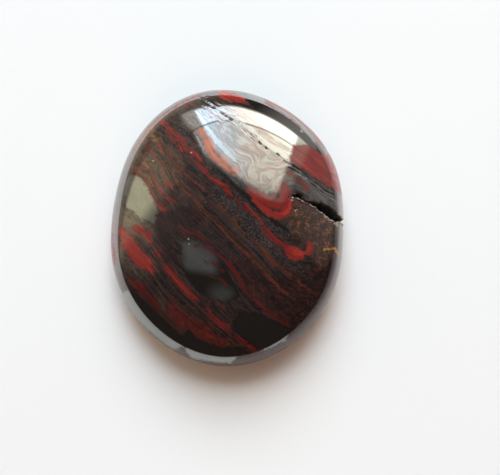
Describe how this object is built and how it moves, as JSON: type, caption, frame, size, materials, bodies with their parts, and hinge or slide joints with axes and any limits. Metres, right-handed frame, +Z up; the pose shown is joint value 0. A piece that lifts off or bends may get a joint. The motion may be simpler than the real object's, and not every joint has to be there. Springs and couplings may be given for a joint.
{
  "type": "mugglestone cabochon",
  "caption": "Polished free-form oval stone with a low dome, a rounded rim, a flat back to rest on and an open fissure that notches one side of the rim.",
  "frame": {"origin": "on the flat back, under the middle of the stone's box", "axes": "+Z up from the flat back, +Y along the stone's length, +X towards the side with the fissure"},
  "size_m": [0.0254, 0.0306, 0.007],
  "materials": {
    "stone": "polished, banded red jasper, grey-black hematite and ochre tiger-eye"
  },
  "bodies": {
    "root": {"stone": "stone"}
  },
  "joints": []
}
